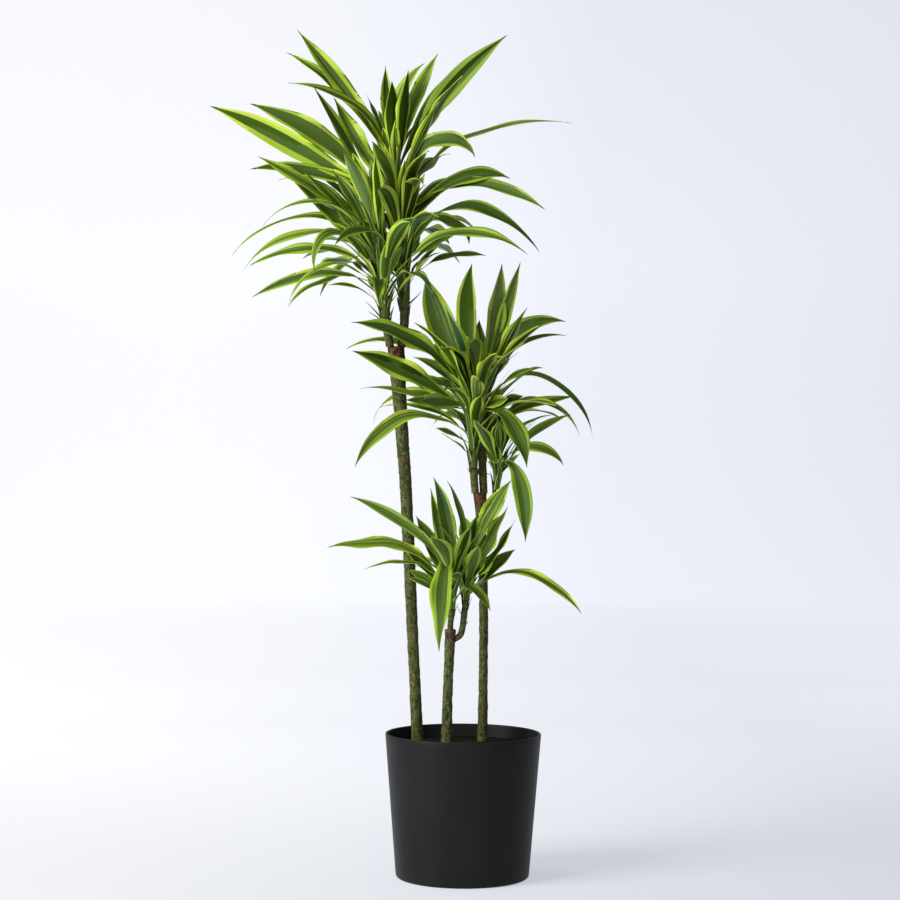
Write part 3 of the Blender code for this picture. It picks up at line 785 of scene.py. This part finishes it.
def small_rows(key):
    """Rows for the short steep leaves between the others."""
    foot, tip = stem_ends(key)
    count, longest = SMALL_LEAVES[key]
    dealt = random.Random(CROWNS[key]["fill"][2] + SMALL_SEED)
    for k in range(count):
        share = mix(*SMALL_SPAN, (k + dealt.random()) / count)
        yield (
            (tip - foot).length / MM * share,
            (k * GOLDEN_TURN + dealt.uniform(-SMALL_TURN_STRAY, SMALL_TURN_STRAY)) % 360,
            mix(*SMALL_RISE, share) + dealt.uniform(-SMALL_RISE_STRAY, SMALL_RISE_STRAY),
            dealt.uniform(*SMALL_DROOP) * mix(*SMALL_DROOP_ENDS, share),
            longest * mix(1, SMALL_TIP_LENGTH, share) * dealt.uniform(*SMALL_LENGTH_STRAY),
            dealt.uniform(*SMALL_WIDTH),
            dealt.uniform(-FACE_STRAY, FACE_STRAY),
            dealt.uniform(*SMALL_HOOK),
        )


def place_leaves():
    """Root and row of every leaf of every crown, by the rule that the solids follow."""
    limbs = []
    for line, radii in CANES.values():
        line = ((*line[0], SOIL_TOP + GAP), *line[1:])
        limbs.append(tree_of(limb_rings(line, radii, CANE_STATIONS, CANE_SIDES, swell=CLEARANCE)))
    for name, (line, foot_radius, end_radius) in SHOOTS.items():
        limbs.append(tree_of(limb_rings(
            line, (foot_radius, end_radius), SHOOT_STATIONS, SHOOT_SIDES, foot_axis=foot_axis_of(name),
            swell=CLEARANCE)))
    stems = {}
    for key, crown in CROWNS.items():
        foot, tip = stem_ends(key)
        bud = [tip + (tip - foot).normalized() * BUD_LENGTH]
        stems[key] = tree_of([*limb_rings((foot, tip), crown["radii"], STEM_STATIONS, STEM_SIDES), bud])
    placed = {key: [] for key in CROWNS}

    def grow(key, row, stations, keep_apart):
        foot, tip = stem_ends(key)
        turn = math.radians(row[1])
        root = foot + (tip - foot).normalized() * row[0] * MM
        root = root + level(turn) * ROOT_OFF_AXIS
        rings = leaf_rings(root, row[1:], stations)
        tested = tree_of(leaf_rings(root, row[1:], stations, spare=CLEARANCE))
        outer = tree_of([ring for s, ring in zip(stations, rings) if s > CROWDED])
        others = [stem for other, stem in stems.items() if other != key]
        for other, rows in placed.items():
            if other != key:
                others.extend(tree for _, _, tree, _ in rows)
        if any(tested.overlap(tree) for tree in limbs + others):
            return False
        if keep_apart and any(outer.overlap(tree) for _, _, _, tree in placed[key]):
            return False
        placed[key].append((root, row, tree_of(rings), outer))
        return True

    for key, rows in LEAVES.items():
        for row in rows:
            grow(key, row, LEAF_STATIONS, False)
    for key, crown in CROWNS.items():
        foot, tip = stem_ends(key)
        count, longest, seed = crown["fill"]
        grown = 0
        for row in fill_rows(longest, seed, (tip - foot).length / MM):
            grown += grow(key, row, FILL_STATIONS, True)
            if grown == count:
                break
    for key in CROWNS:
        for row in (*FRONT_LEAVES.get(key, ()), *small_rows(key)):
            grow(key, row, FILL_STATIONS, False)
    return {key: [(root, row) for root, row, _, _ in rows] for key, rows in placed.items()}


def foot_axis_of(name):
    """Level and outwards for a shoot that leaves its cane's side."""
    line = SHOOTS[name][0]
    out = Vector((line[1][0] - line[0][0], line[1][1] - line[0][1], 0))
    return out if name in FROM_THE_SIDE else UP


def stem_ends(key):
    """Foot and tip of a crown's stem."""
    return Vector(SHOOTS["shoot_" + key][0][-1]) + UP * GAP, Vector(CROWNS[key]["tip"])


def drawn_width(s, waist, fullness):
    """Share of a real leaf's width along it: a clasping foot, a neck, a blade and a drawn-out point."""
    blade = leaf_width(s) ** (waist if s < WIDEST else fullness + DRAWN_OUT * s**3)
    foot = CLASP[0] * math.exp(-((s / CLASP[1]) ** 2))
    return max(blade, foot, NECK if s < WIDEST else 0)


def new_grid(bm, columns, rows):
    """Vertices and faces of a flat grid that runs from -1 to 1 both ways."""
    verts = bmesh.ops.create_grid(bm, x_segments=columns, y_segments=rows, size=1.0)["verts"]
    return verts, list(dict.fromkeys(f for v in verts for f in v.link_faces))


def lay_in_lane(uv, faces, lane, lanes, halves):
    """Lays a grid that is still flat in its own strip of the UV map."""
    for f in faces:
        for loop in f.loops:
            x, y, _ = loop.vert.co
            loop[uv].uv = ((lane + 0.5 + halves[0] * x) / lanes, 0.5 + halves[1] * y)


def grow_leaf(bm, uv, root, row, lane, lanes, dealt):
    """One leaf, from a grid bent along its curve. Gives its faces with the column and row of each."""
    droop, length, width = row[3], row[4] * MM, row[5] * MM
    columns = 2 * (len(STRIPES) - 1)
    verts, faces = new_grid(bm, columns, LEAF_ROWS)
    lay_in_lane(uv, faces, lane, lanes, LEAF_LANE)
    stations = [k / LEAF_ROWS for k in range(LEAF_ROWS + 1)]
    frames = leaf_frames(root, row[1:], stations)
    spread = dealt.uniform(*GREEN_SPREAD) * (OLD_SPREAD if droop > HANGING else 1)
    spreads = (spread * dealt.uniform(*SIDE_SPREAD), spread * dealt.uniform(*SIDE_SPREAD))
    closing = dealt.uniform(*CLOSING)
    calm = min(row[4] / RESTLESS, 1)
    wave = dealt.uniform(*WAVE) * width * calm
    beats = dealt.uniform(*WAVE_BEATS) * calm
    phases = (dealt.uniform(*PHASE), dealt.uniform(*PHASE))
    nick = dealt.uniform(*NICK)
    nicks = dealt.uniform(*NICK_BEATS)
    sway = dealt.uniform(-SWAY, SWAY) * length
    bounce = dealt.uniform(-BOUNCE, BOUNCE) * length
    twist = dealt.uniform(-TWIST, TWIST)
    knee = dealt.uniform(*KNEE_SHARE) * KNEE * length * min(max(droop - KNEE_DROOP[0], 0) / KNEE_DROOP[1], 1)
    knee_at = dealt.uniform(*KNEE_AT)
    fold = dealt.choice(FOLDS) * CHANNEL
    waist = dealt.uniform(*WAIST) + WAIST_BY_DROOP * max(droop, 0)
    fullness = dealt.uniform(*FULLNESS)
    edges = [-x for x in reversed(STRIPES[1:])] + list(STRIPES)
    tops = []
    for f in faces:
        centre = f.calc_center_median()
        tops.append((f, int((centre.x + 1) / 2 * columns), int((centre.y + 1) / 2 * LEAF_ROWS)))
    for v in verts:
        k = round((v.co.y + 1) / 2 * LEAF_ROWS)
        s = stations[k]
        x = edges[round((v.co.x + 1) / 2 * columns)]
        right = x > 0
        reach = min(spreads[right] * (1 + closing * (s - CLOSING_AT)), GREEN_LIMIT)
        if abs(x) <= GREEN_END:
            x *= reach
        elif abs(x) < 1:
            x = math.copysign((GREEN_END * reach + 1) / 2, x)
        middle, ahead, side, normal = frames[k]
        turned = twist * s * s
        across = side * math.cos(turned) + normal * math.sin(turned)
        upper = normal * math.cos(turned) - side * math.sin(turned)
        half = 0.5 * width * drawn_width(s, waist, fullness)
        grown = min(s * 3, 1) * (1 - s**4)
        ripple = wave * math.sin(2 * math.pi * beats * s + phases[right]) * grown
        notch = 0.5 + 0.5 * math.sin(2 * math.pi * nicks * s + 2 * phases[right])
        edge = 1 - nick * notch * grown * x**4
        lift = fold * 2 * half * (abs(x) ** 1.3 - 1) + ripple * abs(x) ** 2.5
        bent = bounce * math.sin(2 * math.pi * s) * (1 - s)
        raised = knee * math.exp(-(((s - knee_at) / KNEE_WIDTH) ** 2)) * grown
        v.co = (middle + (UP - ahead * ahead.dot(UP)) * raised
                + across * (half * x * edge + sway * math.sin(math.pi * s)) + upper * (lift + bent))
    return tops


def pick(names, place):
    return names[min(len(names) - 1, max(0, round(place)))]


def dress_leaf(bm, tops, names, dealt, age):
    """Gives each stripe of a leaf its colour, and the leaf a thickness and an underside."""
    mean, spread = LIME_PLACE
    lime = pick(LIMES, dealt.gauss(mean + age, spread))
    edge = pick(LIMES, LIMES.index(lime) - dealt.choice((0, 1)))
    tone = min(len(GREENS) - 1, max(0, round(dealt.gauss(*GREEN_PLACE))))
    core = GREENS[tone] if dealt.random() > COOL_SHARE else "green_cool"
    inner = pick(GREENS, tone + dealt.choice((-1, 0, 1, 1)))
    line = dealt.choice(("pale_line", "pale_line", lime, "lime_deep"))
    soft = pick(GREENS, tone + 1)
    rib = dealt.choice((core, core, soft, inner))
    streak = dealt.choice((inner, core, core, core, core, soft, "lime_deep"))
    stripes = (rib, core, streak, core, soft, line, lime, edge)
    for f, column, k in tops:
        band = max(column - len(stripes), len(stripes) - 1 - column)
        s = (k + 0.5) / LEAF_ROWS
        name = stripes[band]
        if s > TIP_ROWS:
            name = "dry_tip"
        elif s < BASE_ROWS and band > PALE_BANDS:
            name = "pale_foot"
        f.material_index = names.index(name)
    bmesh.ops.solidify(bm, geom=[f for f, _, _ in tops], thickness=LEAF_THICK)
    for f, _, _ in tops:
        for under, above in UNDERSIDES.items():
            if names[f.material_index] in above:
                f.material_index = names.index(under)


def make_crown(key, leaves, skins):
    dealt = random.Random(len(leaves) * 7 + 3)
    bm = bmesh.new()
    uv = bm.loops.layers.uv.new(UV_MAP)
    for lane, (root, row) in enumerate(leaves):
        tops = grow_leaf(bm, uv, root, row, lane, len(leaves), dealt)
        age = (LOW_AGE if row[0] < LOW_DOWN else 0) + (HANGING_AGE if row[3] > HANGING else 0)
        dress_leaf(bm, tops, list(skins), dealt, age)
    bmesh.ops.remove_doubles(bm, verts=bm.verts, dist=0.005 * MM)
    bmesh.ops.dissolve_degenerate(bm, edges=bm.edges, dist=0.003 * MM)
    bmesh.ops.reverse_faces(bm, faces=bm.faces)
    add_piece("leaves_" + key, bm, list(skins.values()), "foliage", "crown_" + key)


def make_sheaths(key, skins):
    """Short leaf bases that clasp the lower stem of a crown and the end of its shoot, one over another."""
    names = list(skins)
    foot, tip = stem_ends(key)
    axis = (tip - foot).normalized()
    run = (tip - foot).length
    count, below, reach = SHEATHS[key]
    foot_radius, end_radius = CROWNS[key]["radii"]
    shoot, _, shoot_radius = SHOOTS["shoot_" + key]
    shoot = [Vector(p) for p in shoot]
    shoot_run = sum((b - a).length for a, b in zip(shoot, shoot[1:]))
    dealt = random.Random(count * 31 + 5)
    bm = bmesh.new()
    uv = bm.loops.layers.uv.new(UV_MAP)
    for k in range(count):
        share = k / (count - 1)
        up = mix(-below * MM, reach * run, share)
        turn = math.radians(k * GOLDEN_TURN) + dealt.uniform(-SHEATH_TURN_STRAY, SHEATH_TURN_STRAY)
        length = mix(*SHEATH_LENGTH, min(share * SHEATH_SOONER[0], 1)) * MM
        length *= dealt.uniform(*SHEATH_LENGTH_STRAY)
        lean = mix(*SHEATH_LEAN, min(share * SHEATH_SOONER[1], 1)) * dealt.uniform(*SHEATH_LEAN_STRAY)
        clasp = dealt.uniform(*SHEATH_CLASP)
        base = foot + axis * up if up > 0 else along(shoot, max(1 + up / shoot_run, 0.05))
        radius = mix(foot_radius, end_radius, up / run) if up > 0 else shoot_radius
        verts, faces = new_grid(bm, SHEATH_COLUMNS, SHEATH_ROWS)
        lay_in_lane(uv, faces, k, count, BASE_LANE)
        worn = share < WORN_BELOW or dealt.random() < WORN_SHARE
        pale_up_to = dealt.uniform(*SHEATH_PALE)
        for f in faces:
            centre = f.calc_center_median()
            across = abs(centre.x)
            s = (centre.y + 1) / 2
            shade = next(name for end, name in SHEATH_STRIPES if across < end)
            if s < pale_up_to and across > SHEATH_MARGIN:
                shade = "pale_foot"
            if s > SHEATH_DRY or (worn and across > SHEATH_MARGIN):
                shade = "dry_tip"
            f.material_index = names.index(shade)
        for v in verts:
            s = (v.co.y + 1) / 2
            out = radius + SHEATH_OFF + lean * length * s**SHEATH_CURL
            half = clasp * radius * (1 - s**SHEATH_TAPER) + SHEATH_POINT
            around = level(turn + v.co.x * half / out)
            v.co = base + axis * (length * s * (1 - 0.25 * lean * s)) + around * out
        bmesh.ops.solidify(bm, geom=faces, thickness=LEAF_THICK)
    bmesh.ops.recalc_face_normals(bm, faces=bm.faces)
    add_piece("sheaths_" + key, bm, list(skins.values()), "foliage")


def make_stubs(skins):
    """Dry points left on the shoots where old leaves fell."""
    bm = bmesh.new()
    uv = bm.loops.layers.uv.new(UV_MAP)
    columns, rows = STUB_GRID
    stations = [i / rows for i in range(rows + 1)]
    for k, (name, t, turn, rise, droop, length, width) in enumerate(STUBS):
        line, foot_radius, end_radius = SHOOTS[name]
        out = level(math.radians(turn))
        root = along([Vector(p) for p in line], t) + out * mix(foot_radius, end_radius, t) * STUB_ROOT
        verts, faces = new_grid(bm, columns, rows)
        frames = leaf_frames(root, (turn, rise, droop, length, width, 0, 1.0), stations)
        lay_in_lane(uv, faces, k, len(STUBS), BASE_LANE)
        for v in verts:
            i = round((v.co.y + 1) / 2 * rows)
            middle, _, side, normal = frames[i]
            x = v.co.x
            half = 0.5 * width * MM * (1 - stations[i] ** STUB_TAPER) + STUB_POINT
            v.co = middle + side * half * x - normal * half * (1 - abs(x)) * STUB_KEEL
        bmesh.ops.solidify(bm, geom=faces, thickness=LEAF_THICK)
    bmesh.ops.recalc_face_normals(bm, faces=bm.faces)
    add_piece("stubs", bm, [skins["dry_stub"]], "foliage")


def make_limb(name, nodes, points, radii, foot_axis, materials, slot, rings, wax_from=None, pointed=False):
    """A limb's bark: a grid wrapped round its curve, with leaf rings and small swellings."""
    points = [Vector(p) for p in points]
    length = sum((b - a).length for a, b in zip(points, points[1:]))
    steps = max(6, round(length / BARK_STEP))
    bm = bmesh.new()
    verts, _ = new_grid(bm, BARK_SIDES, steps)
    spacing, depth, rough = rings
    for v in verts:
        around = level(math.pi * (v.co.x + 1))
        t = round((v.co.y + 1) / 2 * steps) / steps
        middle, turn = limb_frame(points, t, foot_axis)
        radius = value_at(radii, t)
        place = t * length / spacing + RING_WANDER * noise.noise(around + UP * (t * 9))
        groove = -depth * max(0.0, 1 - abs(place - math.floor(place) - 0.5) * RING_SHARPNESS)
        spot = around * SWELLINGS[0] + Vector((length * 50, 0, t * length * SWELLINGS[1]))
        if pointed and t > POINT_FROM:
            radius *= math.cos((t - POINT_FROM) / (1 - POINT_FROM) * POINT_ROUND)
        elif wax_from is not None and (1 - t) * length < CANE_CORNER:
            radius -= CANE_CORNER * (1 - (1 - t) * length / CANE_CORNER) ** 2
        v.co = middle + turn @ (around * (radius + groove + rough * (noise.noise(spot) - 0.2)))
    bmesh.ops.remove_doubles(bm, verts=bm.verts, dist=MERGED)
    bmesh.ops.holes_fill(bm, edges=[e for e in bm.edges if e.is_boundary], sides=0)
    bmesh.ops.recalc_face_normals(bm, faces=bm.faces)
    if wax_from is not None:
        for f in bm.faces:
            centre = f.calc_center_median()
            if centre.z > wax_from + WAX_EDGE[1] * noise.noise(centre * WAX_EDGE[0]):
                f.material_index = 1
    add_piece(name, bm, materials, slot, *nodes)


def make_limbs(cane_bark, shoot_bark, wax):
    for name, (line, radii) in CANES.items():
        line = ((*line[0], SOIL_TOP + GAP), *line[1:])
        make_limb("bark_" + name, [name], line, radii, UP, [cane_bark, wax], "bark", CANE_RINGS,
                  wax_from=WAX_FROM[name])
    for name, (line, foot_radius, end_radius) in SHOOTS.items():
        axis = foot_axis_of(name)
        line = (Vector(line[0]) - axis.normalized() * SUNK, *line[1:])
        make_limb("bark_" + name, [name], line, (foot_radius, end_radius), axis, [shoot_bark], "shoot_bark",
                  SHOOT_RINGS)
    for key, crown in CROWNS.items():
        foot, tip = stem_ends(key)
        make_limb("stem_" + key, [], (foot, mix(foot, tip, 0.5), tip + UP * 4 * MM), crown["radii"], UP,
                  [shoot_bark], "shoot_bark", STEM_RINGS, pointed=True)


def pot_radius(z):
    return mix(POT_BASE_RADIUS, POT_RIM_RADIUS, z / POT_HEIGHT)


def spun(profile):
    """A closed round surface from points given as distance from the axis and height."""
    bm = bmesh.new()
    verts = [bm.verts.new((r, 0, z)) for r, z in profile]
    edges = [bm.edges.new(pair) for pair in zip(verts, verts[1:])]
    bmesh.ops.spin(bm, geom=verts + edges, cent=(0, 0, 0), axis=(0, 0, 1), angle=2 * math.pi,
                   steps=POT_STEPS, use_merge=True, use_duplicate=False)
    bmesh.ops.remove_doubles(bm, verts=bm.verts, dist=MERGED)
    bmesh.ops.recalc_face_normals(bm, faces=bm.faces)
    return bm


def make_pot(plastic):
    lip = POT_WALL / 2
    brim = POT_HEIGHT - lip
    foot = POT_BASE_RADIUS - POT_CORNER
    ring = POT_BASE_RADIUS - POT_FOOT_WIDTH
    profile = [(0, POT_HOLLOW), (ring - POT_HOLLOW, POT_HOLLOW), (ring, 0), (foot, 0)]
    for k in range(1, CORNER_STEPS + 1):
        share = k / CORNER_STEPS
        angle = math.pi / 2 * share
        profile.append((
            foot + POT_CORNER * math.sin(angle) + POT_CORNER_FLARE * share,
            POT_CORNER - POT_CORNER * math.cos(angle),
        ))
    for k in range(1, WALL_STEPS):
        z = mix(POT_CORNER, brim, k / WALL_STEPS)
        profile.append((pot_radius(z), z))
    for k in range(LIP_STEPS + 1):
        angle = math.pi * k / LIP_STEPS
        profile.append((pot_radius(brim) - lip + lip * math.cos(angle), brim + lip * math.sin(angle)))
    for k in range(1, INNER_STEPS + 1):
        z = mix(brim, SOIL_TOP - INNER_BELOW, k / INNER_STEPS)
        profile.append((pot_radius(z) - POT_WALL, z))
    profile += [(pot_radius(POT_FLOOR) - POT_WALL, POT_FLOOR), (0, POT_FLOOR)]
    add_piece("pot_shell", spun(profile), [plastic], "pot", "pot")


def make_soil(mixture):
    edge = pot_radius(SOIL_TOP) - POT_WALL - GAP
    bottom = POT_FLOOR + GAP
    profile = [(0, bottom), (pot_radius(bottom) - POT_WALL - GAP, bottom), (edge, SOIL_TOP - SOIL_EDGE)]
    for k in range(SOIL_RINGS, -1, -1):
        share = k / SOIL_RINGS
        profile.append((edge * share * 0.999, SOIL_TOP - SOIL_CROWN * share**2))
    bm = spun(profile)
    fineness, height = SOIL_CLODS
    for v in bm.verts:
        if v.co.z > SOIL_TOP - SOIL_SMOOTH[1] and v.co.xy.length < edge - SOIL_SMOOTH[0]:
            v.co.z += height * (noise.fractal(v.co * fineness, *SOIL_FRACTAL) - SOIL_MEAN)
    add_piece("soil_top", bm, [mixture], "soil", "soil")


def make_stage():
    """Floor, bend and back wall in one sheet with painted light: it glows, more on the left, and its colour
    by distance paints light and shade.
    """
    bm = bmesh.new()
    bmesh.ops.create_grid(bm, x_segments=1, y_segments=1, size=FLOOR_HALF)
    back = max(bm.edges, key=lambda e: e.verts[0].co.y + e.verts[1].co.y)
    made = bmesh.ops.spin(bm, geom=[back], cent=(0, FLOOR_HALF, BEND_RADIUS), axis=(1, 0, 0),
                          angle=math.pi / 2, steps=BEND_STEPS, use_merge=False, use_duplicate=False)
    tops = [g for g in made["geom_last"] if isinstance(g, bmesh.types.BMEdge)]
    lifted = bmesh.ops.extrude_edge_only(bm, edges=tops)
    for g in lifted["geom"]:
        if isinstance(g, bmesh.types.BMVert):
            g.co.z += BACK_RISE
    mesh = bpy.data.meshes.new("backdrop")
    bm.to_mesh(mesh)
    bm.free()
    mesh.shade_smooth()
    finish = Finish("backdrop_painted_light", (0.39, 0.395, 0.40), 0.9, Specular_IOR_Level=0.0)
    where = finish.place()
    # Painted light and shade: the sheet's colour changes with distance from the middle, darkest about 2 m
    # out and lightest where the floor bends up.
    distance_for_painted_light = finish.node("ShaderNodeVectorMath", output=1, settings={"operation": "LENGTH"}, Vector=where)
    finish.feed("Base Color", finish.ramp(
        distance_for_painted_light * 0.1, (0.078, (0.310, 0.313, 0.318)), (0.13, (0.290, 0.294, 0.301)),
        (0.20, (0.262, 0.266, 0.273)), (0.32, (0.300, 0.304, 0.311)), (0.45, (0.405, 0.410, 0.418)),
        (0.62, (0.560, 0.566, 0.576)), (0.80, (0.410, 0.415, 0.425))))
    # Painted light: the sheet glows, brightest on the left and dimmer and bluer on the right.
    across_for_painted_glow = finish.node("ShaderNodeSeparateXYZ", Vector=where)
    finish.feed("Emission Color", finish.ramp(
        across_for_painted_glow * 0.2 + 0.5, (0.06, (0.574, 0.578, 0.590)), (0.36, (0.526, 0.534, 0.560)),
        (0.50, (0.484, 0.499, 0.545)), (0.64, (0.420, 0.436, 0.492)), (0.94, (0.420, 0.432, 0.478))))
    finish.shader.inputs["Emission Strength"].default_value = 1.0
    mesh.materials.append(finish.material)
    obj = bpy.data.objects.new("backdrop", mesh)
    bpy.context.scene.collection.objects.link(obj)


def area_light(name, place, aim, size, power):
    data = bpy.data.lights.new(name, "AREA")
    data.shape = "RECTANGLE"
    data.size, data.size_y = size
    data.energy = power
    obj = bpy.data.objects.new(name, data)
    obj.location = place
    obj.rotation_euler = (Vector(aim) - Vector(place)).to_track_quat("-Z", "Y").to_euler()
    bpy.context.scene.collection.objects.link(obj)


def light_and_camera():
    scene = bpy.context.scene
    world = bpy.data.worlds.new("studio")
    world.use_nodes = True
    sky = world.node_tree.nodes["Background"].inputs
    sky["Color"].default_value = (*SKY, 1)
    sky["Strength"].default_value = SKY_STRENGTH
    scene.world = world
    for light in LIGHTS:
        area_light(*light)
    scene.view_settings.view_transform = "Standard"
    lens = bpy.data.cameras.new("camera")
    lens.sensor_width = SENSOR
    lens.lens = LENS
    camera = bpy.data.objects.new("camera", lens)
    camera.location = CAMERA_PLACE
    camera.rotation_euler = (math.pi / 2, -CAMERA_ROLL, 0)
    scene.collection.objects.link(camera)
    scene.camera = camera


def main():
    make_stage()
    light_and_camera()
    make_pot(black_plastic())
    make_soil(potting_mix())
    cane_bark = bark("cane_bark", (0.014, 0.017, 0.004), (0.046, 0.055, 0.014), (0.105, 0.112, 0.034),
                     (0.27, 0.27, 0.12))
    shoot_bark = bark("shoot_bark", (0.016, 0.017, 0.005), (0.048, 0.056, 0.015), (0.105, 0.115, 0.036),
                      (0.22, 0.24, 0.10))
    make_limbs(cane_bark, shoot_bark, wound_wax())
    skins = {name: leaf_skin(name, *finish) for name, *finish in SKINS}
    for key, leaves in place_leaves().items():
        make_crown(key, leaves, skins)
        make_sheaths(key, skins)
    make_stubs(skins)


main()
